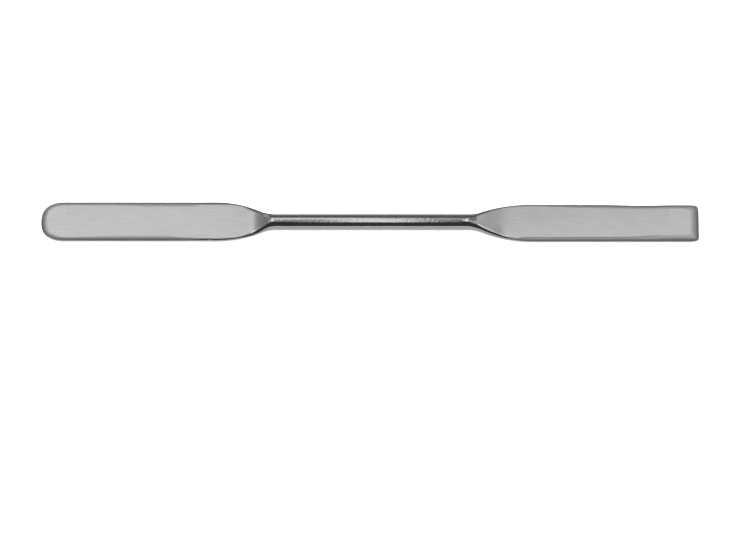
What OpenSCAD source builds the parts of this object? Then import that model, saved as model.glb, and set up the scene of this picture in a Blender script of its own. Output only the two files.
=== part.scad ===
// Double-ended laboratory spatula, pressed from a single length of round stainless bar.
// X runs along the handle with the round-ended blade towards -X, and Z is up. The spatula lies
// on its handle on the plane z = 0, and the origin is on that plane under the middle of its length.

/* [Bar] */
// Length of the spatula from tip to tip
overall_length = 150; // [140:1:200]
// Diameter of the bar, which the handle keeps
bar_d = 3.6; // [3:0.05:4.5]

/* [Both blades] */
// Thickness of the pressed blades
blade_thickness = 1.1; // [0.8:0.05:1.6]
// Height of the bar's axis above the middle of the blades' thickness
blade_drop = 0.35; // [0:0.05:0.6]
// Radius of the hollow curve where a blade's outline leaves the handle
neck_r = 7.5; // [6:0.5:12]

/* [Round-ended blade] */
// Length from the end of the handle to the tip
round_length = 53.4; // [45:0.1:60]
// Full width
round_width = 9.3; // [7:0.1:10]
// Length over which the outline widens from the handle to the full width
round_shoulder = 13.3; // [12:0.1:18]
// Where the pressed slope starts, from the end of the handle
round_slope_start = 0.4; // [0.4:0.1:2]
// Length of the pressed slope
round_slope_length = 5.6; // [5:0.1:10]
// Share of the slope that bends where it leaves the handle
round_knee = 0.3; // [0.1:0.05:0.5]
// Share of the slope that bends where it runs into the flat
round_foot = 0.7; // [0.1:0.05:0.9]
// Length of the stretch that narrows to the tip
round_tip_length = 5.8; // [5:0.1:9]
// Squareness of the tip: 2 is an ellipse, and a larger number is squarer
round_tip_power = 2.6; // [2:0.05:4]
// Distance of the blade's middle line from the bar's axis, towards +Y
round_shift = 0.19; // [-0.3:0.01:0.3]

/* [Square-ended blade] */
// Length from the end of the handle to the end
square_length = 52.5; // [45:0.1:60]
// Full width
square_width = 8.9; // [7:0.1:10]
// Length over which the outline widens from the handle to the full width
square_shoulder = 14.2; // [12:0.1:18]
// Where the pressed slope starts, from the end of the handle
square_slope_start = 1.6; // [0.4:0.1:2]
// Length of the pressed slope
square_slope_length = 6.6; // [5:0.1:10]
// Share of the slope that bends where it leaves the handle
square_knee = 0.1; // [0.1:0.05:0.5]
// Share of the slope that bends where it runs into the flat
square_foot = 0.3; // [0.1:0.05:0.9]
// Length of the stretch that the rounded corners take up
square_tip_length = 6.8; // [5:0.1:9]
// Squareness of the end: 2 is an ellipse, and a larger number is squarer
square_tip_power = 12; // [8:1:14]
// Distance of the blade's middle line from the bar's axis, towards +Y
square_shift = -0.19; // [-0.3:0.01:0.3]

/* [Facets] */
// Facets round half a turn of a blade's rounded rim
rim_steps = 12; // [8:2:16]
// Stations along each shoulder
shoulder_steps = 28; // [16:2:36]
// Stations round each side of a tip
tip_steps = 12; // [8:2:16]

/* [Hidden] */

bar_r = bar_d / 2;
blade_half = blade_thickness / 2;
round_root = -overall_length / 2 + round_length;
square_root = overall_length / 2 - square_length;
// The bar runs this far into each blade's solid
bar_bite = 0.4;
// A blade starts this much larger than the bar, so that its facets clear the bar's curve
facet_clearance = 0.003;
root_r = bar_r + facet_clearance;
facet_angle = 180 / rim_steps;

// Distances along a blade are measured from the end of the handle towards the tip.
// A station is [distance, half width, inward normal along, inward normal across, half thickness,
// height, shift across].

// Two tangent arcs, hollow at the neck and round at the shoulder
function shoulder_half_width(at, length, half_width) =
    let (
        turn = 2 * atan((half_width - root_r) / length),
        shoulder_r = length / sin(turn) - neck_r
    )
    at >= length ? half_width
    : at <= neck_r * sin(turn) ? root_r + neck_r - sqrt(neck_r ^ 2 - at ^ 2)
    : half_width - shoulder_r + sqrt(shoulder_r ^ 2 - (length - at) ^ 2);

// Rises from 0 at the start to 1 a length further on, along an S curve
function eased(at, length) =
    let (u = min(max(at / length, 0), 1))
    u ^ 2 * (3 - 2 * u);

// How far the bar is pressed, from 0 for not at all to 1 for flat: a straight slope that bends
// over its first share, the knee, and its last, the foot
function pressed(at, start, length, knee, foot) =
    let (
        u = min(max((at - start) / length, 0), 1),
        steady = 1 - (knee + foot) / 2
    )
    u < knee ? u ^ 2 / (2 * knee * steady)
    : u > 1 - foot ? 1 - (1 - u) ^ 2 / (2 * foot * steady)
    : (u - knee / 2) / steady;

function half_thickness(press) = root_r + (blade_half - root_r) * press;

function mid_height(press) = bar_r - blade_drop * press;

function shoulder_station(at, shoulder, half_width, press, shift) =
    let (half_t = half_thickness(press))
    [at, max(shoulder_half_width(at, shoulder, half_width), half_t), 0, -1,
     half_t, mid_height(press), shift * eased(at, shoulder)];

// A superellipse, with angle 90 at its widest and 0 at the tip
function tip_station(angle, length, half_width, tip_length, power, shift) =
    let (
        along = cos(angle) ^ (2 - 2 / power) / tip_length,
        across = sin(angle) ^ (2 - 2 / power) / half_width,
        size = norm([along, across])
    )
    [length - tip_length * (1 - cos(angle) ^ (2 / power)), half_width * sin(angle) ^ (2 / power),
     -along / size, -across / size, blade_half, mid_height(1), shift];

// The rounded rim at one station, from its underside to its top face. Its facets lie round the
// true half circle, so that the top and the underside are facets too.
function rim(station, side) = [
    for (i = [0:rim_steps - 1])
        let (
            turn = (i + 0.5) * facet_angle - 90,
            corner_r = station[4] / cos(facet_angle / 2),
            inset = station[4] - corner_r * cos(turn)
        )
        [station[0] + station[2] * inset,
         side * (station[1] + station[3] * inset) + station[6],
         station[5] + corner_r * sin(turn)]
];

function quad(a, b, c, d) = [[a, c, b], [a, d, c]];

// A pressed blade that starts on the plane x = 0 and runs towards +X
module blade(length, width, shoulder, slope_start, slope_length, knee, foot, tip_length,
             tip_power, shift) {
    half_width = width / 2;
    side_stations = [
        for (i = [0:shoulder_steps])
            let (at = shoulder * i / shoulder_steps)
            shoulder_station(at, shoulder, half_width,
                             pressed(at, slope_start, slope_length, knee, foot), shift),
        for (i = [0:tip_steps])
            tip_station(90 * (1 - i / tip_steps), length, half_width, tip_length, tip_power, shift)
    ];
    last = len(side_stations) - 1;
    rims = [
        for (i = [0:last]) rim(side_stations[i], 1),
        for (i = [last - 1:-1:0]) rim(side_stations[i], -1)
    ];
    ring = rim_steps;
    top = rim_steps - 1;
    faces = [
        // The rim, all the way round from one side of the handle to the other
        for (i = [0:2 * last - 1], k = [0:top - 1])
            each quad(i * ring + k, i * ring + k + 1, (i + 1) * ring + k + 1, (i + 1) * ring + k),
        // The top and the underside, in strips across the blade
        for (i = [0:last - 1])
            let (a = i * ring, b = (i + 1) * ring, c = (2 * last - i - 1) * ring,
                 d = (2 * last - i) * ring)
            each concat(quad(a, b, c, d),
                        quad(d + top, c + top, b + top, a + top)),
        // The end that meets the handle
        [for (k = [0:top]) k, for (k = [top:-1:0]) 2 * last * ring + k]
    ];
    polyhedron(points = [for (r = rims) each r], faces = faces, convexity = 4);
}

module handle() {
    translate([round_root - bar_bite, 0, bar_r])
        rotate([0, 90, 0])
            cylinder(h = square_root - round_root + 2 * bar_bite, d = bar_d, $fn = 96);
}

module spatula() {
    color("silver")
        union() {
            handle();
            translate([round_root, 0, 0])
                mirror([1, 0, 0])
                    blade(round_length, round_width, round_shoulder, round_slope_start,
                          round_slope_length, round_knee, round_foot, round_tip_length,
                          round_tip_power, round_shift);
            translate([square_root, 0, 0])
                blade(square_length, square_width, square_shoulder, square_slope_start,
                      square_slope_length, square_knee, square_foot, square_tip_length,
                      square_tip_power, square_shift);
        }
}

spatula();
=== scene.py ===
"""A double-ended laboratory spatula, pressed from one length of round stainless bar.

The handle is the bar as it was drawn. Each end is pressed flat into a blade, the round-ended one
towards -X and the square-ended one towards +X, and the blades' faces and rims are then ground.
Lengths are in metres, and X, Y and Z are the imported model's own.
"""

import logging
import math
from collections.abc import Callable, Sequence
from dataclasses import dataclass
from enum import Enum

import bmesh
import bpy
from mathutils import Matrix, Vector


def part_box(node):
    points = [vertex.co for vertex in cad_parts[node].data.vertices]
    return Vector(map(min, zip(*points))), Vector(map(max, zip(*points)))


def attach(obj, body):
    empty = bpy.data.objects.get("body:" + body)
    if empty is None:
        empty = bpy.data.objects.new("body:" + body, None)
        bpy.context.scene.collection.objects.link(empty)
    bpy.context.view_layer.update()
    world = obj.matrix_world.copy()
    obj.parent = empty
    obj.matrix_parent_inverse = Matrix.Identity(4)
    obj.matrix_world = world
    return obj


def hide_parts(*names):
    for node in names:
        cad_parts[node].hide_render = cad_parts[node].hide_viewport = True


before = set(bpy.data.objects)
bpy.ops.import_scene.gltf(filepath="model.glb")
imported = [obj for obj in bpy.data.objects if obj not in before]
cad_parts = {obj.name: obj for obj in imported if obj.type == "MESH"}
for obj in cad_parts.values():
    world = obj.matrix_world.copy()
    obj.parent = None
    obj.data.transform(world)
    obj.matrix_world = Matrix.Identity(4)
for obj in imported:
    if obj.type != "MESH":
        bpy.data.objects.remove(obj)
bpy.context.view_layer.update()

LOG = logging.getLogger("lab_spatula")
MM = 0.001
# Places closer together than this are the same place
TOUCH = 1e-6
# A cross-section's vertices above this share of half its thickness belong to the flat's border
BEVEL_EDGE = 0.99
# A hollow shorter than this is a nick, and gets cross-sections of its own
NICK = 1 * MM
# Edges longer than this at a blade's end are cut into END_CUTS + 1 steps
LONG_EDGE = 1.2 * MM
END_CUTS = 5
# Height of the panels overhead
CEILING = 0.6


class Side(Enum):
    """A long side of the spatula, as the sign of its Y."""

    NEAR = -1
    FAR = 1


class Finish(Enum):
    """A finish of the metal, as the number of its material slot."""

    GROUND_FACE = 0
    DRAWN_BAR = 1


# ---------------------------------------------------------------- small helpers


def smooth_step(value: float, start: float, end: float) -> float:
    """Rises from 0 at start to 1 at end along an S curve.

    Args:
        value: Where the curve is read.
        start: The value at which it leaves 0.
        end: The value at which it reaches 1.

    Returns:
        A number from 0 to 1.
    """
    u = min(max((value - start) / (end - start), 0.0), 1.0)
    return u * u * (3 - 2 * u)


def srgb(hex_colour: str) -> tuple[float, float, float, float]:
    """Turns an sRGB hex colour into the linear colour that a shader takes.

    Args:
        hex_colour: Six hex digits after a hash sign.

    Returns:
        Linear red, green, blue and an alpha of 1.
    """
    channels = [int(hex_colour[i : i + 2], 16) / 255 for i in (1, 3, 5)]
    linear = [c / 12.92 if c <= 0.04045 else ((c + 0.055) / 1.055) ** 2.4 for c in channels]
    return (linear[0], linear[1], linear[2], 1.0)


def add_node(tree: bpy.types.NodeTree, kind: str, settings: dict[str, object] | None = None,
             values: dict[str, object] | None = None,
             links: dict[str, bpy.types.NodeSocket] | None = None) -> bpy.types.Node:
    """Adds a node to a tree, with its settings, its socket values and its links.

    Args:
        tree: The node tree.
        kind: The node's type.
        settings: The node's own properties by name.
        values: Values of input sockets by name or number.
        links: Output sockets to link into input sockets, by name or number.

    Returns:
        The new node.
    """
    node = tree.nodes.new(kind)
    for name, value in (settings or {}).items():
        setattr(node, name, value)
    for name, value in (values or {}).items():
        node.inputs[name].default_value = value
    for name, socket in (links or {}).items():
        tree.links.new(socket, node.inputs[name])
    return node


def deselect_all() -> None:
    """Leaves no object selected."""
    bpy.ops.object.select_all(action="DESELECT")


def unselected(piece: bpy.types.Object) -> bmesh.types.BMesh:
    """Leaves nothing of a piece selected.

    Args:
        piece: The piece, in edit mode.

    Returns:
        Its mesh.
    """
    mesh = bmesh.from_edit_mesh(piece.data)
    for part in (mesh.faces, mesh.edges, mesh.verts):
        for element in part:
            element.select = False
    return mesh


def select_vertices(piece: bpy.types.Object, test: Callable[[bmesh.types.BMVert], bool]) -> None:
    """Selects the vertices of a piece in edit mode that pass a test, and no others.

    Args:
        piece: The piece, in edit mode.
        test: Says of a vertex whether it is selected.
    """
    mesh = unselected(piece)
    for vertex in mesh.verts:
        if test(vertex):
            vertex.select = True
    mesh.select_flush_mode()
    bmesh.update_edit_mesh(piece.data)


def select_edges(piece: bpy.types.Object, test: Callable[[bmesh.types.BMEdge], bool]) -> None:
    """Selects the edges of a piece in edit mode that pass a test, and no others.

    Args:
        piece: The piece, in edit mode with edges as its select mode.
        test: Says of an edge whether it is selected.
    """
    mesh = unselected(piece)
    for edge in mesh.edges:
        if test(edge):
            edge.select_set(True)
    bmesh.update_edit_mesh(piece.data)


def select_faces(piece: bpy.types.Object, test: Callable[[bmesh.types.BMFace], bool]) -> None:
    """Selects the faces of a piece in edit mode that pass a test, and no others.

    Args:
        piece: The piece, in edit mode with faces as its select mode.
        test: Says of a face whether it is selected.
    """
    mesh = unselected(piece)
    for face in mesh.faces:
        if test(face):
            face.select_set(True)
    bmesh.update_edit_mesh(piece.data)


def move(offset: Sequence[float]) -> None:
    """Moves what is selected.

    Args:
        offset: How far, along X, Y and Z.
    """
    bpy.ops.transform.translate(value=tuple(offset))


def resize(factors: Sequence[float], centre: Sequence[float]) -> None:
    """Resizes what is selected about a point.

    Args:
        factors: Factors along X, Y and Z.
        centre: The point that stays where it is.
    """
    bpy.ops.transform.resize(value=tuple(factors), center_override=tuple(centre))


def turn(angle: float, axis: str, centre: Sequence[float]) -> None:
    """Turns what is selected about a point by the right-hand rule.

    Args:
        angle: How far, in radians.
        axis: X, Y or Z.
        centre: The point that stays where it is.
    """
    # With no window the operator turns the other way, hence the minus sign
    bpy.ops.transform.rotate(value=-angle, orient_axis=axis, center_override=tuple(centre))


# ---------------------------------------------------------------- finishes


@dataclass(frozen=True)
class GroundStainless:
    """AISI 304 stainless, satin ground along the length with a fine belt.

    It gives a soft, even grey with faint lengthwise streaks and one stray scratch.
    """

    dark_colour: str = "#bfbfbf"
    light_colour: str = "#d3d3d3"
    # Roughness where the metal is darkest and where it is lightest
    roughness: tuple[float, float] = (0.26, 0.35)
    # Width and length of a grinding streak, drawn wider than real so that it shows
    streak_width: float = 0.4 * MM
    streak_length: float = 5 * MM
    # The belt runs at this small angle to the blades, in degrees
    slant: float = -5.0
    grain_size: float = 0.25 * MM
    patch_size: float = 6 * MM
    # How much the grain, the patches and the scratch count beside the streaks, and the sums of
    # all four that give the dark and the light colour
    grain_share: float = 0.35
    patch_share: float = 0.4
    scratch_share: float = 0.5
    colour_range: tuple[float, float] = (0.5, 1.25)
    # Depth of the streaks, drawn deeper than real so that they show
    streak_depth: float = 1.2e-6
    # The die leaves the faces very slightly uneven, over lengths like this
    dent_size: float = 3 * MM
    dent_depth: float = 0.05 * MM
    # A stray scratch on the round-ended blade, an arc round its centre, lies near this place
    scratch_place: tuple[float, float, float] = (-44.8 * MM, 2.15 * MM, 2.0 * MM)
    scratch_length: float = 3.2 * MM
    scratch_centre: tuple[float, float, float] = (-43.3 * MM, -2.95 * MM, 2.0 * MM)
    scratch_radius: float = 5.36 * MM
    scratch_width: float = 0.25 * MM

    def scratch(self, tree: bpy.types.NodeTree,
                place: bpy.types.NodeSocket) -> bpy.types.NodeSocket:
        """Draws the stray scratch.

        Args:
            tree: The node tree.
            place: The place on the object.

        Returns:
            1 on the scratch and 0 away from it.
        """
        out = add_node(
            tree, "ShaderNodeVectorMath", {"operation": "DISTANCE"},
            values={1: self.scratch_centre}, links={0: place},
        ).outputs["Value"]
        beside = add_node(
            tree, "ShaderNodeMath", {"operation": "SUBTRACT"},
            values={1: self.scratch_radius}, links={0: out},
        ).outputs["Value"]
        off = add_node(
            tree, "ShaderNodeMath", {"operation": "ABSOLUTE"}, links={0: beside},
        ).outputs["Value"]
        line = add_node(
            tree, "ShaderNodeMapRange",
            values={"From Min": self.scratch_width / 2, "From Max": 0.0},
            links={"Value": off},
        ).outputs["Result"]
        away = add_node(
            tree, "ShaderNodeVectorMath", {"operation": "DISTANCE"},
            values={1: self.scratch_place}, links={0: place},
        ).outputs["Value"]
        near = add_node(
            tree, "ShaderNodeMapRange",
            values={"From Min": self.scratch_length / 2, "From Max": self.scratch_length / 4},
            links={"Value": away},
        ).outputs["Result"]
        return add_node(
            tree, "ShaderNodeMath", {"operation": "MULTIPLY"}, links={0: line, 1: near},
        ).outputs["Value"]

    def build(self) -> bpy.types.Material:
        """Makes the material.

        Returns:
            The finished material.
        """
        material = bpy.data.materials.new("satin_ground_stainless")
        material.use_nodes = True
        tree = material.node_tree
        tree.nodes.clear()
        place = add_node(tree, "ShaderNodeTexCoord").outputs["Object"]
        stretched = add_node(
            tree, "ShaderNodeMapping",
            values={"Scale": (1 / self.streak_length, 1 / self.streak_width,
                              1 / self.streak_width),
                    "Rotation": (0, 0, math.radians(self.slant))},
            links={"Vector": place},
        ).outputs["Vector"]
        streaks = add_node(
            tree, "ShaderNodeTexNoise",
            values={"Scale": 1.0, "Detail": 3.0, "Roughness": 0.6},
            links={"Vector": stretched},
        ).outputs["Fac"]
        patches = add_node(
            tree, "ShaderNodeTexNoise",
            values={"Scale": 1 / self.patch_size, "Detail": 2.0},
            links={"Vector": place},
        ).outputs["Fac"]
        grain = add_node(
            tree, "ShaderNodeTexNoise",
            values={"Scale": 1 / self.grain_size, "Detail": 1.0},
            links={"Vector": place},
        ).outputs["Fac"]
        ground = add_node(
            tree, "ShaderNodeMath", {"operation": "MULTIPLY_ADD"},
            values={1: self.grain_share}, links={0: grain, 2: streaks},
        ).outputs["Value"]
        mixed = add_node(
            tree, "ShaderNodeMath", {"operation": "MULTIPLY_ADD"},
            values={1: self.patch_share}, links={0: patches, 2: ground},
        ).outputs["Value"]
        scratched = add_node(
            tree, "ShaderNodeMath", {"operation": "MULTIPLY_ADD"},
            values={1: self.scratch_share}, links={0: self.scratch(tree, place), 2: mixed},
        ).outputs["Value"]
        share = add_node(
            tree, "ShaderNodeMapRange",
            values={"From Min": self.colour_range[0], "From Max": self.colour_range[1]},
            links={"Value": scratched},
        ).outputs["Result"]
        roughness = add_node(
            tree, "ShaderNodeMapRange",
            values={"To Min": self.roughness[0], "To Max": self.roughness[1]},
            links={"Value": share},
        ).outputs["Result"]
        colour = add_node(
            tree, "ShaderNodeMix", {"data_type": "RGBA"},
            values={6: srgb(self.dark_colour), 7: srgb(self.light_colour)},
            links={"Factor": share},
        ).outputs[2]
        dents = add_node(
            tree, "ShaderNodeTexNoise",
            values={"Scale": 1 / self.dent_size, "Detail": 0.0},
            links={"Vector": place},
        ).outputs["Fac"]
        uneven = add_node(
            tree, "ShaderNodeBump",
            values={"Strength": 1.0, "Distance": self.dent_depth},
            links={"Height": dents},
        ).outputs["Normal"]
        relief = add_node(
            tree, "ShaderNodeBump",
            values={"Strength": 1.0, "Distance": self.streak_depth},
            links={"Height": streaks, "Normal": uneven},
        ).outputs["Normal"]
        shader = add_node(
            tree, "ShaderNodeBsdfPrincipled",
            values={"Metallic": 1.0},
            links={"Base Color": colour, "Roughness": roughness, "Normal": relief},
        )
        add_node(tree, "ShaderNodeOutputMaterial", links={"Surface": shader.outputs["BSDF"]})
        return material


@dataclass(frozen=True)
class DrawnStainless:
    """AISI 304 stainless bar, drawn bright and polished, with its rims ground past the shoulders.

    It gives the handle crisp dark and light bands, broken by fine pits, and the rims a dull edge.
    """

    colour: str = "#c9c9c9"
    bright_roughness: float = 0.1
    ground_roughness: float = 0.46
    # Where the ground rims start, from the origin towards -X and towards +X, and how long the
    # grinding takes to set in
    ground_from: tuple[float, float] = (36 * MM, 31 * MM)
    run_in: tuple[float, float] = (5 * MM, 1 * MM)
    pit_size: float = 0.35 * MM
    pit_length: float = 0.6 * MM
    pit_depth: float = 8e-6

    def build(self) -> bpy.types.Material:
        """Makes the material.

        Returns:
            The finished material.
        """
        material = bpy.data.materials.new("bright_drawn_stainless")
        material.use_nodes = True
        tree = material.node_tree
        tree.nodes.clear()
        place = add_node(tree, "ShaderNodeTexCoord").outputs["Object"]
        along = add_node(tree, "ShaderNodeSeparateXYZ", links={"Vector": place}).outputs["X"]
        round_end = add_node(
            tree, "ShaderNodeMapRange",
            values={"From Min": -self.ground_from[0],
                    "From Max": -self.ground_from[0] - self.run_in[0]},
            links={"Value": along},
        ).outputs["Result"]
        square_end = add_node(
            tree, "ShaderNodeMapRange",
            values={"From Min": self.ground_from[1],
                    "From Max": self.ground_from[1] + self.run_in[1]},
            links={"Value": along},
        ).outputs["Result"]
        ground = add_node(
            tree, "ShaderNodeMath", {"operation": "MAXIMUM"},
            links={0: round_end, 1: square_end},
        ).outputs["Value"]
        drawn_out = add_node(
            tree, "ShaderNodeMapping",
            values={"Scale": (1 / self.pit_length, 1 / self.pit_size, 1 / self.pit_size)},
            links={"Vector": place},
        ).outputs["Vector"]
        pits = add_node(
            tree, "ShaderNodeTexNoise",
            values={"Scale": 1.0, "Detail": 2.0, "Roughness": 0.5},
            links={"Vector": drawn_out},
        ).outputs["Fac"]
        roughness = add_node(
            tree, "ShaderNodeMapRange",
            values={"To Min": self.bright_roughness, "To Max": self.ground_roughness},
            links={"Value": ground},
        ).outputs["Result"]
        relief = add_node(
            tree, "ShaderNodeBump",
            values={"Strength": 1.0, "Distance": self.pit_depth},
            links={"Height": pits},
        ).outputs["Normal"]
        shader = add_node(
            tree, "ShaderNodeBsdfPrincipled",
            values={"Base Color": srgb(self.colour), "Metallic": 1.0},
            links={"Roughness": roughness, "Normal": relief},
        )
        add_node(tree, "ShaderNodeOutputMaterial", links={"Surface": shader.outputs["BSDF"]})
        return material


# ---------------------------------------------------------------- the spatula


@dataclass(frozen=True)
class Section:
    """A cross-section of the metal, square to X: two flats between two rounded rims."""

    x: float
    middle: float
    height: float
    half_thickness: float
    half_widths: dict[Side, float]
    rims: dict[Side, float]

    def border(self, side: Side) -> float:
        """Gives the Y of the line where the flats meet the rim of a side."""
        return self.middle + side.value * (self.half_widths[side] - self.rims[side])


@dataclass(frozen=True)
class Rim:
    """The ground rim along one side of a blade."""

    # How far the rounding reaches in from the outline, at distances from the end of the handle.
    # Before the first of them the rim is as round as the metal is thick.
    reaches: tuple[tuple[float, float], ...]
    # How long the grinding takes to set in before the first distance
    run_in: float = 3 * MM
    # How far the rounding reaches in on the slope, as a share of the flat
    crown: float = 0.0
    # How far the rim's bevel is sunk below the face, as a share of half the thickness, and how
    # wide it is
    sunk: float = 0.0
    bevel: float = 0.0
    # Where the bevel starts to run out
    ends: float = 1.0

    def sinking(self, distance: float) -> float:
        """Says how far the bevel is sunk there, from 0 to 1."""
        left = 1 - smooth_step(distance, self.ends, self.ends + self.run_in)
        return self.ground(distance) * left

    def sink(self, distance: float) -> float:
        """Gives the share of half the thickness that the bevel leaves there."""
        return 1 - self.sunk * self.sinking(distance)

    def ground(self, distance: float) -> float:
        """Says how far the rim is ground there, from 0 to 1."""
        first = self.reaches[0][0]
        return smooth_step(distance, first - self.run_in, first)

    def reach(self, distance: float) -> float:
        """Gives the rounding's reach where the rim is fully ground.

        Args:
            distance: How far from the end of the handle.

        Returns:
            How far the rounding reaches in from the outline.
        """
        reach = self.reaches[0][1]
        for (start, low), (end, high) in zip(self.reaches, self.reaches[1:]):
            if distance > start:
                reach = low + (high - low) * smooth_step(distance, start, end)
        return reach


@dataclass(frozen=True)
class Hollow:
    """A shallow hollow or a nick in the edge of a blade, at a distance from the handle's end."""

    side: Side
    distance: float
    # Half its length, and its depth
    reach: float
    depth: float

    def depth_at(self, distance: float) -> float:
        """Gives how deep it is there."""
        return self.depth * math.exp(-(((distance - self.distance) / self.reach) ** 2))


@dataclass(frozen=True)
class Blade:
    """A blade, pressed out of the bar's end. Distances along it are from the end of the handle."""

    name: str
    # Which way along X it points, as a sign
    way: int
    root: float
    length: float
    half_width: float
    shoulder: float
    slope_start: float
    slope_length: float
    # How much of the slope bends: at the handle and at the face
    knee: float
    foot: float
    # The share of the pressing that is a steep step at the slope's start, and the step's length
    step: float
    step_length: float
    # How far the blade is set to one side
    shift: float
    rims: dict[Side, Rim]
    # The rounding's reach at the nose, and how long and how square the tip's outline and its
    # flat's border are: 2 is an ellipse, and more is squarer
    nose_rim: float
    tip_length: float
    tip_power: float
    border_power: float
    # The hollow curve where the outline leaves the handle
    neck_radius: float = 7.5 * MM
    half_thickness: float = 0.55 * MM
    # How far the middle of the blade lies below the handle's axis
    drop: float = 0.35 * MM
    hollows: tuple[Hollow, ...] = ()
    # Still round for this far, so that the shoulder's soft shading stays off the handle
    lead: float = 1.5 * MM
    # Where the rims' crown starts and ends to fade out, as shares of the slope
    crown_fade: tuple[float, float] = (0.6, 1.3)
    shoulder_sections: int = 44
    straight_sections: int = 30
    tip_sections: int = 20

    @property
    def begins(self) -> float:
        """Gives the distance of the first cross-section, where the bar is still round."""
        return min(0.0, self.slope_start) - self.lead

    def pressed(self, distance: float) -> float:
        """Says how far the bar is pressed flat at a distance along the blade.

        Args:
            distance: How far from the end of the handle.

        Returns:
            A number from 0 for not at all to 1 for flat.
        """
        u = min(max((distance - self.slope_start) / self.slope_length, 0.0), 1.0)
        steady = 1 - (self.knee + self.foot) / 2
        if u < self.knee:
            slope = u * u / (2 * self.knee * steady)
        elif u > 1 - self.foot:
            slope = 1 - (1 - u) ** 2 / (2 * self.foot * steady)
        else:
            slope = (u - self.knee / 2) / steady
        stepped = smooth_step(distance, self.slope_start, self.slope_start + self.step_length)
        return (1 - self.step) * slope + self.step * stepped

    def outline(self, distance: float, bar_radius: float) -> float:
        """Gives half the blade's width, along a hollow arc at the neck and a round shoulder.

        Args:
            distance: How far from the end of the handle.
            bar_radius: The handle's radius.

        Returns:
            The half width there.
        """
        if distance <= 0:
            return bar_radius
        if distance >= self.shoulder:
            return self.half_width
        angle = 2 * math.atan((self.half_width - bar_radius) / self.shoulder)
        shoulder_radius = self.shoulder / math.sin(angle) - self.neck_radius
        if distance <= self.neck_radius * math.sin(angle):
            return bar_radius + self.neck_radius - math.sqrt(self.neck_radius**2 - distance**2)
        back = self.shoulder - distance
        return self.half_width - shoulder_radius + math.sqrt(shoulder_radius**2 - back**2)

    def section(self, distance: float, bar_radius: float) -> Section:
        """Works out the cross-section at a distance along the blade.

        Args:
            distance: How far from the end of the handle.
            bar_radius: The handle's radius.

        Returns:
            The cross-section.
        """
        press = self.pressed(distance)
        half_thickness = bar_radius + (self.half_thickness - bar_radius) * press
        half_width = max(self.outline(distance, bar_radius), half_thickness)
        half_widths = {
            side: half_width - sum(h.depth_at(distance) for h in self.hollows if h.side is side)
            for side in Side
        }
        slope_end = self.slope_start + self.slope_length
        fade = 1 - smooth_step(distance, *(share * slope_end for share in self.crown_fade))
        rims = {}
        for side, rim in self.rims.items():
            ground = (rim.reach(distance) - half_thickness) * rim.ground(distance)
            crown = rim.crown * (half_width - half_thickness) * fade
            rims[side] = half_thickness + ground + crown
        return Section(
            x=self.way * (self.root + distance),
            middle=self.shift * smooth_step(distance, 0.0, self.shoulder),
            height=bar_radius - self.drop * press,
            half_thickness=half_thickness,
            half_widths=half_widths,
            rims=rims,
        )

    def distances(self) -> list[float]:
        """Places the cross-sections, closer together along the shoulder and at a nick.

        Returns:
            Their distances from the end of the handle.
        """
        tip_start = self.length - self.tip_length
        start = self.begins + self.lead
        shoulder = [start + (self.shoulder - start) * i / self.shoulder_sections
                    for i in range(self.shoulder_sections + 1)]
        straight = [self.shoulder + (tip_start - self.shoulder) * i / self.straight_sections
                    for i in range(1, self.straight_sections + 1)]
        nicks = [hollow.distance + hollow.reach * i for hollow in self.hollows
                 if hollow.reach < NICK for i in (-2, -1, 0, 1, 2)]
        apart = 0.05 * MM
        plain = [d for d in shoulder + straight if all(abs(d - n) > apart for n in nicks)]
        return sorted(plain + nicks)


def select_ring(piece: bpy.types.Object, section: Section, side: Side | None = None,
                middle: float = 0.0, border: bool | None = None) -> None:
    """Selects the vertices of a cross-section, or some of them.

    Args:
        piece: The piece, in edit mode.
        section: The cross-section.
        side: The side to select, or None for both.
        middle: The Y that parts the two sides.
        border: True for the flats' borders, False for all but them, or None for everything.
    """
    limit = BEVEL_EDGE * section.half_thickness
    select_vertices(piece, lambda v: (
        abs(v.co.x - section.x) < TOUCH
        and (side is None or (v.co.y - middle) * side.value > 0)
        and (border is None or (abs(v.co.z - section.height) > limit) == border)
    ))


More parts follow.
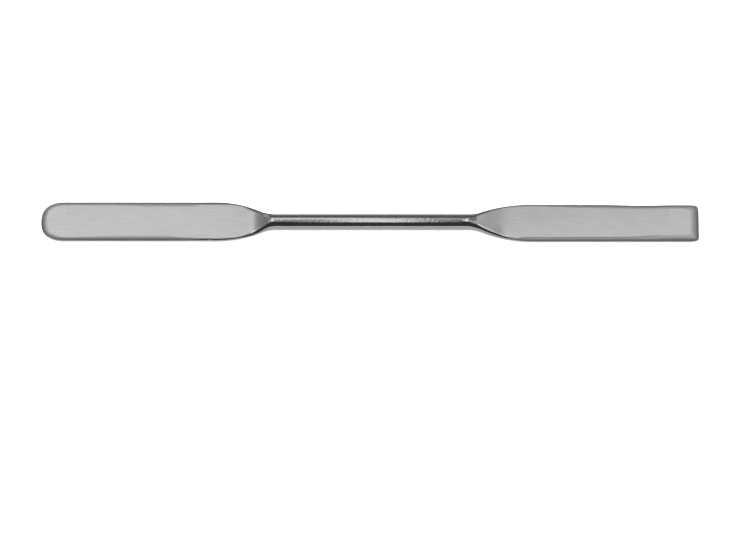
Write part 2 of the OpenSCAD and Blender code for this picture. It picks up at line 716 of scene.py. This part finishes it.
@dataclass(frozen=True)
class Spatula:
    """The whole spatula, which is one piece of metal."""

    bar_radius: float
    blades: tuple[Blade, ...]
    # Vertices round the bar. Half a step each side of the top, so that a flat can open there.
    sides: int = 48
    finishes: tuple[GroundStainless | DrawnStainless, ...] = (GroundStainless(), DrawnStainless())
    # A blade is ground from this share of its slope's steep step
    step_share: float = 0.9
    # The crowned part of the slope ends here, and the tips' noses start here
    crown_end: float = 38 * MM
    nose_start: float = 68 * MM
    # Least Z of the normal on a ground face, and on the crowned part of it
    flat_level: float = 0.8
    crown_level: float = 0.9
    # Least X for each Y along an edge that runs lengthwise
    crisp_slant: float = 0.2
    # A face with more sides than this closes a tip
    most_sides: int = 8

    def build(self) -> bpy.types.Object:
        """Models the spatula and dresses it.

        Returns:
            The finished piece.
        """
        piece = self.handle()
        for blade in self.blades:
            last = self.press(piece, blade)
            self.close_tip(piece, blade, last)
            LOG.info("%s: pressed and closed", blade.name)
        self.dress(piece)
        return piece

    def handle(self) -> bpy.types.Object:
        """Lays the bar along X.

        Returns:
            The bar, in edit mode, ready for its ends to be pressed.
        """
        ends = sorted(blade.way * (blade.root + blade.begins) for blade in self.blades)
        deselect_all()
        bpy.ops.mesh.primitive_cylinder_add(
            vertices=self.sides, radius=self.bar_radius, depth=ends[1] - ends[0],
            end_fill_type="NGON", rotation=(0, math.pi / 2, 0),
            location=((ends[0] + ends[1]) / 2, 0, self.bar_radius),
        )
        piece = bpy.context.object
        piece.name = "stainless_spatula"
        bpy.ops.object.transform_apply(location=True, rotation=True, scale=True)
        bpy.ops.object.mode_set(mode="EDIT")
        bpy.ops.mesh.select_mode(type="VERT")
        bpy.ops.mesh.select_all(action="SELECT")
        turn(math.pi / self.sides, "X", (0, 0, self.bar_radius))
        return piece

    def press(self, piece: bpy.types.Object, blade: Blade) -> Section:
        """Draws the handle's end out into a blade, cross-section by cross-section.

        Args:
            piece: The piece, in edit mode.
            blade: The blade.

        Returns:
            The last cross-section, where the tip starts.
        """
        old = blade.section(blade.begins, self.bar_radius)
        bevels = {side: (1.0, 0.0) for side in Side}
        select_ring(piece, old)
        for distance in blade.distances():
            new = blade.section(distance, self.bar_radius)
            step = (new.x - old.x, 0, new.height - old.height)
            bpy.ops.mesh.extrude_region_move(TRANSFORM_OT_translate={"value": step})
            flatten = new.half_thickness / old.half_thickness
            resize((1, 1, flatten), (new.x, 0, new.height))
            for side, rim in blade.rims.items():
                select_ring(piece, new, side, old.middle)
                resize((1, new.rims[side] / old.rims[side], 1), (new.x, old.border(side), 0))
                move((0, new.border(side) - old.border(side), 0))
                sunk, inset = rim.sink(distance), rim.bevel * rim.sinking(distance)
                old_sunk, old_inset = bevels[side]
                if inset or old_inset:
                    select_ring(piece, new, side, old.middle, border=False)
                    resize((1, 1, sunk / old_sunk), (new.x, 0, new.height))
                    select_ring(piece, new, side, old.middle, border=True)
                    grown = old_inset * new.rims[side] / old.rims[side]
                    move((0, side.value * (grown - inset), 0))
                    bevels[side] = (sunk, inset)
            select_ring(piece, new)
            old = new
        return old

    def close_tip(self, piece: bpy.types.Object, blade: Blade, start: Section) -> None:
        """Sweeps both rims round the tip until they meet, and closes the faces between them.

        Args:
            piece: The piece, in edit mode, with the blade's open end selected.
            blade: The blade.
            start: The cross-section at which the tip starts.
        """
        bpy.ops.mesh.delete(type="ONLY_FACE")
        for side in Side:
            select_ring(piece, start, side, start.middle)
            edge, inset = self.tip_place(blade, start, side, 0)
            for step in range(1, blade.tip_sections + 1):
                new_edge, new_inset = self.tip_place(blade, start, side, step)
                bpy.ops.mesh.extrude_region_move(
                    TRANSFORM_OT_translate={"value": tuple(new_edge - edge)})
                angle = math.atan2(new_inset.y, new_inset.x) - math.atan2(inset.y, inset.x)
                turn(math.remainder(angle, 2 * math.pi), "Z", new_edge)
                grow = new_inset.length / inset.length
                resize((grow, grow, 1), new_edge)
                edge, inset = new_edge, new_inset
        bpy.ops.mesh.select_all(action="SELECT")
        bpy.ops.mesh.remove_doubles(threshold=5 * TOUCH)
        bpy.ops.mesh.select_mode(type="EDGE")
        # More steps along a straight end keep its shading straight too
        select_edges(piece, lambda e: e.calc_length() > LONG_EDGE
                     and min(v.co.x * blade.way for v in e.verts) > abs(start.x) + TOUCH)
        bpy.ops.mesh.subdivide(number_cuts=END_CUTS)
        for up in (1, -1):
            select_edges(piece, lambda e: e.is_boundary and e.verts[0].co.x * blade.way > 0
                         and (e.verts[0].co.z - start.height) * up > 0)
            bpy.ops.mesh.edge_face_add()
        bpy.ops.mesh.select_mode(type="VERT")

    @staticmethod
    def tip_place(blade: Blade, start: Section, side: Side, step: int) -> tuple[Vector, Vector]:
        """Works out where the rim is at one step round a tip.

        Args:
            blade: The blade.
            start: The cross-section at which the tip starts.
            side: The side that the rim comes from.
            step: The step, from 0 at the start to the blade's tip_sections at the nose.

        Returns:
            The outline's place, and the way from it to the flat's border.
        """
        angle = math.pi / 2 * (1 - step / blade.tip_sections)
        across = max(math.sin(angle), 0.0)
        along = max(math.cos(angle), 0.0) if step else 0.0
        half_width = start.half_widths[side]
        outer = Vector((
            blade.way * blade.tip_length * along ** (2 / blade.tip_power),
            side.value * half_width * across ** (2 / blade.tip_power),
            0,
        ))
        inner = Vector((
            blade.way * (blade.tip_length - blade.nose_rim) * along ** (2 / blade.border_power),
            side.value * (half_width - start.rims[side]) * across ** (2 / blade.border_power),
            0,
        ))
        return Vector((start.x, start.middle, start.height)) + outer, inner - outer

    def dress(self, piece: bpy.types.Object) -> None:
        """Gives each region its finish, and shades the piece with the flats' borders crisp.

        Args:
            piece: The piece, in edit mode.
        """
        bpy.ops.mesh.select_all(action="SELECT")
        bpy.ops.mesh.normals_make_consistent(inside=False)
        for finish in self.finishes:
            piece.data.materials.append(finish.build())
        starts = {blade.way: blade.root + blade.slope_start + self.step_share * blade.step_length
                  for blade in self.blades}

        def is_flat(face: bmesh.types.BMFace) -> bool:
            """Finds the faces of the mesh that are part of a blade's ground face.

            Args:
                face: A face of the mesh.

            Returns:
                Whether it is part of one.
            """
            place = face.calc_center_median()
            out, across = abs(place.x), [v.co.y for v in face.verts]
            normal = [abs(part) for part in face.normal]
            crowned = place.y > 0 and out < self.crown_end and normal[2] > self.crown_level
            nose = out > self.nose_start and normal[0] > self.flat_level * normal[1]
            return (out > starts[1 if place.x > 0 else -1] and normal[2] > self.flat_level
                    and (min(across) < 0 < max(across) or crowned or nose))

        def is_crisp(edge: bmesh.types.BMEdge) -> bool:
            """Finds the edges along the near border of a ground face, and round its end.

            Args:
                edge: An edge of the mesh.

            Returns:
                Whether it is one of them.
            """
            first, second = (v.co for v in edge.verts)
            lengthwise = abs(first.x - second.x) > self.crisp_slant * abs(first.y - second.y)
            borders = len({f.material_index for f in edge.link_faces}) > 1
            end = any(len(f.verts) > self.most_sides for f in edge.link_faces)
            return (first.y < 0 and borders and lengthwise
                    or abs(first.x) > self.nose_start and end)

        bpy.ops.mesh.select_mode(type="FACE")
        bpy.ops.mesh.select_all(action="SELECT")
        piece.active_material_index = Finish.DRAWN_BAR.value
        bpy.ops.object.material_slot_assign()
        select_faces(piece, is_flat)
        piece.active_material_index = Finish.GROUND_FACE.value
        bpy.ops.object.material_slot_assign()
        bpy.ops.mesh.select_mode(type="EDGE")
        select_edges(piece, is_crisp)
        bpy.ops.mesh.mark_sharp()
        bpy.ops.object.mode_set(mode="OBJECT")
        bpy.ops.object.shade_smooth()
        piece.data.update()


# ---------------------------------------------------------------- studio


@dataclass(frozen=True)
class Card:
    """A flat panel that the metal reflects, light or dark. It isn't seen by the camera."""

    name: str
    # Size along its first and second way
    size: tuple[float, float]
    place: tuple[float, float, float]
    radiance: float
    # Turn about X, Y and Z, in degrees, from lying flat
    turned: tuple[float, float, float] = (0, 0, 0)

    @classmethod
    def overhead(cls, name: str, size: tuple[float, float], place: tuple[float, float],
                 radiance: float, height: float = 1.0) -> "Card":
        """Makes a panel that lies flat overhead, in shares of the ceiling's height.

        Args:
            name: The panel's name.
            size: Its size along X and Y.
            place: The X and Y of its middle.
            radiance: How bright it is.
            height: How high it hangs.

        Returns:
            The panel.
        """
        return cls(name, (size[0] * CEILING, size[1] * CEILING),
                   (place[0] * CEILING, place[1] * CEILING, height * CEILING), radiance)

    def build(self) -> None:
        """Hangs the panel."""
        deselect_all()
        bpy.ops.mesh.primitive_plane_add(
            size=1, location=self.place, rotation=[math.radians(a) for a in self.turned])
        panel = bpy.context.object
        panel.name = self.name
        panel.scale = (self.size[0], self.size[1], 1)
        bpy.ops.object.transform_apply(location=True, rotation=True, scale=True)
        material = bpy.data.materials.new(self.name)
        material.use_nodes = True
        tree = material.node_tree
        tree.nodes.clear()
        glow = add_node(tree, "ShaderNodeEmission", values={"Strength": self.radiance})
        add_node(tree, "ShaderNodeOutputMaterial", links={"Surface": glow.outputs["Emission"]})
        panel.data.materials.append(material)
        panel.visible_camera = False
        panel.visible_diffuse = False
        panel.visible_shadow = False
        panel.visible_transmission = False


@dataclass(frozen=True)
class Studio:
    """A pale floor under soft light, with panels for the metal to reflect."""

    floor_size: float = 3.2
    floor_colour: str = "#f4f4f4"
    lamp_size: float = 3.0
    lamp_height: float = 2.0
    lamp_watts: float = 190.0
    # What the metal sees where there is no panel
    wall_radiance: float = 0.045
    camera_distance: float = 1.0
    camera_elevation: float = 72.0
    # Width of what the camera sees at the spatula, and where its middle is in that view
    view_width: float = 166.7 * MM
    off_middle: tuple[float, float] = (1.03 * MM, 11.86 * MM)
    cards: tuple[Card, ...] = ()

    def build(self, middle: Vector) -> None:
        """Sets up the floor, the light, the panels and the camera.

        Args:
            middle: The middle of the spatula.
        """
        self.floor()
        self.light()
        for card in self.cards:
            card.build()
        self.camera(middle)

    def floor(self) -> None:
        """Lays a plain pale floor under the spatula."""
        deselect_all()
        bpy.ops.mesh.primitive_plane_add(size=self.floor_size, location=(0, 0, 0))
        floor = bpy.context.object
        floor.name = "pale_floor"
        # The metal reflects the panels laid just under the floor in its place
        floor.visible_glossy = False
        material = bpy.data.materials.new("pale_matt_laminate")
        material.use_nodes = True
        tree = material.node_tree
        tree.nodes.clear()
        shader = add_node(tree, "ShaderNodeBsdfDiffuse", values={"Color": srgb(self.floor_colour)})
        add_node(tree, "ShaderNodeOutputMaterial", links={"Surface": shader.outputs["BSDF"]})
        floor.data.materials.append(material)

    def light(self) -> None:
        """Hangs the soft light for the floor, and sets the studio's own dim walls."""
        lamp = bpy.data.lights.new("floor_softbox", "AREA")
        lamp.shape = "SQUARE"
        lamp.size = self.lamp_size
        lamp.energy = self.lamp_watts
        softbox = bpy.data.objects.new("floor_softbox", lamp)
        softbox.location = (0, 0, self.lamp_height)
        softbox.visible_glossy = False
        bpy.context.scene.collection.objects.link(softbox)
        world = bpy.data.worlds.new("studio_walls")
        world.use_nodes = True
        tree = world.node_tree
        tree.nodes.clear()
        rays = add_node(tree, "ShaderNodeLightPath")
        walls = add_node(tree, "ShaderNodeBackground",
                         values={"Color": srgb("#ffffff"), "Strength": self.wall_radiance})
        backdrop = add_node(tree, "ShaderNodeBackground",
                            values={"Color": srgb("#ffffff"), "Strength": 1.0})
        mix = add_node(tree, "ShaderNodeMixShader", links={
            0: rays.outputs["Is Camera Ray"],
            1: walls.outputs["Background"], 2: backdrop.outputs["Background"]})
        add_node(tree, "ShaderNodeOutputWorld", links={"Surface": mix.outputs["Shader"]})
        bpy.context.scene.world = world
        bpy.context.scene.view_settings.view_transform = "Standard"

    def camera(self, middle: Vector) -> None:
        """Looks down on the spatula from its near side.

        Args:
            middle: The middle of the spatula.
        """
        tilt = math.radians(90 - self.camera_elevation)
        back = Vector((0, -math.sin(tilt), math.cos(tilt)))
        view_up = Vector((0, math.cos(tilt), math.sin(tilt)))
        aim = middle - Vector((self.off_middle[0], 0, 0)) - view_up * self.off_middle[1]
        lens = bpy.data.cameras.new("camera")
        lens.sensor_width = 36.0
        lens.lens = lens.sensor_width * self.camera_distance / self.view_width
        camera = bpy.data.objects.new("camera", lens)
        camera.location = aim + back * self.camera_distance
        camera.rotation_euler = (tilt, 0, 0)
        bpy.context.scene.collection.objects.link(camera)
        bpy.context.scene.camera = camera


def round_ended_blade(length: float, root: float) -> Blade:
    """Describes the round-ended blade.

    Args:
        length: From the handle's end to the blade's nose.
        root: How far the handle's end is from the origin.

    Returns:
        The blade.
    """
    near = Rim(((13 * MM, 0.58 * MM), (18 * MM, 0.7 * MM), (26 * MM, 1.2 * MM),
                (34 * MM, 1.2 * MM), (46 * MM, 0.9 * MM)), crown=0.25)
    far = Rim(((14 * MM, 1.3 * MM), (28 * MM, 1.3 * MM), (38 * MM, 1.0 * MM)),
              run_in=6 * MM, crown=0.5)
    return Blade(
        name="round-ended blade", way=-1, root=root, length=length,
        half_width=4.65 * MM, shoulder=13.3 * MM,
        slope_start=0.4 * MM, slope_length=5.6 * MM, knee=0.3, foot=0.7,
        step=0.0, step_length=1.0 * MM, shift=0.19 * MM,
        rims={Side.NEAR: near, Side.FAR: far},
        nose_rim=1.6 * MM, tip_length=5.8 * MM, tip_power=2.6, border_power=2.6,
        hollows=(Hollow(Side.FAR, 18.5 * MM, reach=0.12 * MM, depth=0.15 * MM),
                 Hollow(Side.NEAR, 15.1 * MM, reach=0.12 * MM, depth=0.12 * MM)),
    )


def square_ended_blade(length: float, root: float) -> Blade:
    """Describes the square-ended blade.

    Args:
        length: From the handle's end to the blade's nose.
        root: How far the handle's end is from the origin.

    Returns:
        The blade.
    """
    near = Rim(((13 * MM, 0.95 * MM), (36 * MM, 1.0 * MM), (45 * MM, 1.5 * MM)),
               run_in=2.2 * MM, sunk=0.12, bevel=0.1 * MM, ends=42 * MM)
    far = Rim(((12 * MM, 0.6 * MM), (30 * MM, 1.1 * MM)))
    return Blade(
        name="square-ended blade", way=1, root=root, length=length,
        half_width=4.45 * MM, shoulder=14.2 * MM,
        slope_start=-0.6 * MM, slope_length=10.8 * MM, knee=0.1, foot=0.3,
        step=0.15, step_length=2.6 * MM, shift=-0.19 * MM,
        rims={Side.NEAR: near, Side.FAR: far},
        nose_rim=2.2 * MM, tip_length=6.8 * MM, tip_power=12.0, border_power=8.0,
        hollows=(Hollow(Side.FAR, 40 * MM, reach=6 * MM, depth=0.2 * MM),
                 Hollow(Side.FAR, 25.4 * MM, reach=0.12 * MM, depth=0.15 * MM)),
    )


def panels() -> tuple[Card, ...]:
    """Lists the studio's panels: overhead, low on the near side, round the room and far off.

    Returns:
        The panels.
    """
    under_floor = -1 * MM
    wall = (1.0, 0.55)
    return (
        Card.overhead("far_left_softbox", (0.42, 0.7), (-0.19, 0.71), 1.0),
        Card.overhead("far_middle_softbox", (0.02, 0.7), (0.03, 0.71), 0.55),
        Card.overhead("far_grey_card", (0.1, 0.7), (0.09, 0.71), 0.42),
        Card.overhead("far_right_softbox", (0.26, 0.7), (0.27, 0.71), 0.8),
        Card.overhead("left_softbox", (0.247, 0.5), (-0.1865, 0.11), 1.32),
        Card.overhead("right_softbox", (0.172, 0.5), (0.176, 0.11), 1.62),
        Card.overhead("middle_strip", (0.047, 0.8), (0.006, -0.03), 1.5),
        Card.overhead("left_pale_card", (0.14, 0.5), (-0.38, 0.11), 0.9),
        Card.overhead("left_grey_card", (0.3, 0.5), (-0.6, 0.11), 0.5),
        Card.overhead("left_dark_card", (1.1, 1.6), (-0.95, 0.5), 0.3, height=1.02),
        Card.overhead("right_grey_card", (0.36, 0.5), (0.44, 0.11), 0.56),
        Card.overhead("right_dark_card", (1.0, 1.6), (0.9, 0.5), 0.26, height=1.02),
        Card("near_low_card", (2.0, 0.07), (0, -0.6, 0.035), 0.9, turned=(90, 0, 0)),
        Card("near_floor_card", (2.0, 0.6), (0, -0.3, under_floor), 0.6),
        Card("far_left_wall", wall, (-0.85, 0.85, 0.325), 0.65, turned=(90, 0, 45)),
        Card("far_right_wall", wall, (0.85, 0.85, 0.325), 0.8, turned=(90, 0, -45)),
        Card("near_left_wall", wall, (-0.85, -0.85, 0.325), 1.0, turned=(90, 0, -45)),
        Card("near_right_wall", wall, (0.85, -0.85, 0.325), 1.0, turned=(90, 0, 45)),
        Card("far_low_card", (2.0, 0.5), (0, 1.4, 0.25), 0.28, turned=(90, 0, 0)),
        Card("far_floor_card", (2.0, 1.4), (0, 0.7, under_floor), 0.2),
    )


def main() -> None:
    """Builds the spatula and the studio."""
    logging.basicConfig(level=logging.INFO, format="%(name)s: %(message)s")
    low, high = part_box("spatula")
    bar_radius = 1.8 * MM
    round_root, square_root = 21.6 * MM, 22.5 * MM
    spatula = Spatula(bar_radius=bar_radius, blades=(
        round_ended_blade(-low.x - round_root, round_root),
        square_ended_blade(high.x - square_root, square_root),
    ))
    piece = spatula.build()
    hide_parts("spatula")
    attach(piece, "root")
    LOG.info("%s: %d faces", piece.name, len(piece.data.polygons))

    studio = Studio(cards=panels())
    studio.build(Vector((0, 0, bar_radius)))
    LOG.info("studio: floor, %d panels and camera", len(studio.cards))


if __name__ == "__main__":
    main()
